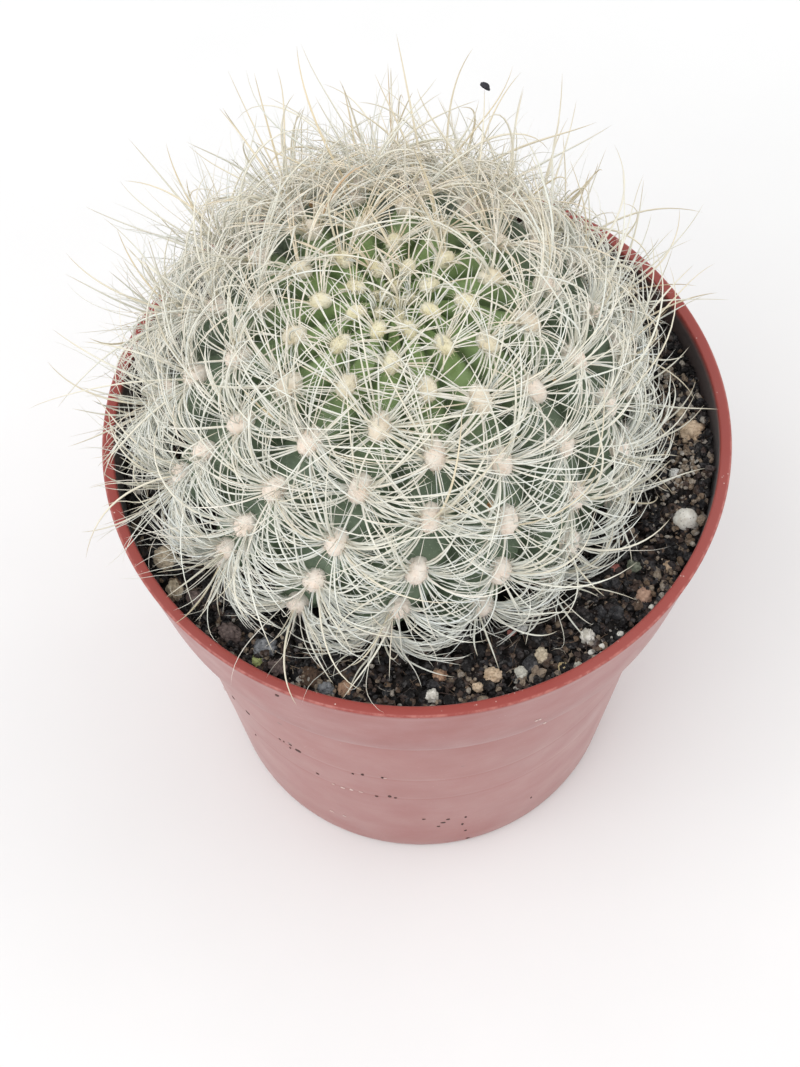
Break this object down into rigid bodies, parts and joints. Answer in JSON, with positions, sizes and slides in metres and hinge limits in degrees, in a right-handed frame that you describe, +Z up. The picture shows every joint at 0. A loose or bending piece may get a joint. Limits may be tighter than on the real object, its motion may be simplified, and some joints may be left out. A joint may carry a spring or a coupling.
{
  "type": "potted globe cactus",
  "caption": "Globe-shaped ribbed cactus with woolly felt pads and a mat of long pale spines, in dark soil with grit, in a round tapered plastic nursery pot.",
  "frame": {"origin": "centre of the pot's flat base, on the surface that the pot stands on", "axes": "+Z up along the pot's axis; the side shown in the picture faces -Y, with +X to its right"},
  "size_m": [0.113, 0.1168, 0.1537],
  "materials": {
    "pot_plastic": "satin",
    "soil": "matte",
    "cactus": "satin",
    "pumice": "matte",
    "perlite": "matte",
    "chip": "matte",
    "gravel": "matte",
    "bark": "matte",
    "spine": "satin",
    "felt": "matte"
  },
  "bodies": {
    "root": {"pot": "pot_plastic", "soil": "soil", "cactus": "cactus", "pumice_right": "pumice", "pumice_left": "pumice", "perlite_right": "perlite", "perlite_front": "perlite", "perlite_left": "perlite", "perlite_back": "perlite", "chip_right": "chip", "gravel_green": "gravel", "gravel_tan_right": "gravel", "gravel_pink": "gravel", "gravel_tan_front": "gravel", "gravel_yellow": "gravel", "gravel_pale": "gravel", "gravel_brown_front": "gravel", "gravel_orange": "gravel", "gravel_tan_left": "gravel", "gravel_grey": "gravel", "gravel_brown_left": "gravel", "gravel_back_1": "gravel", "gravel_back_2": "gravel", "gravel_back_3": "gravel", "bark_left": "bark", "bark_back": "bark"}
  },
  "joints": []
}
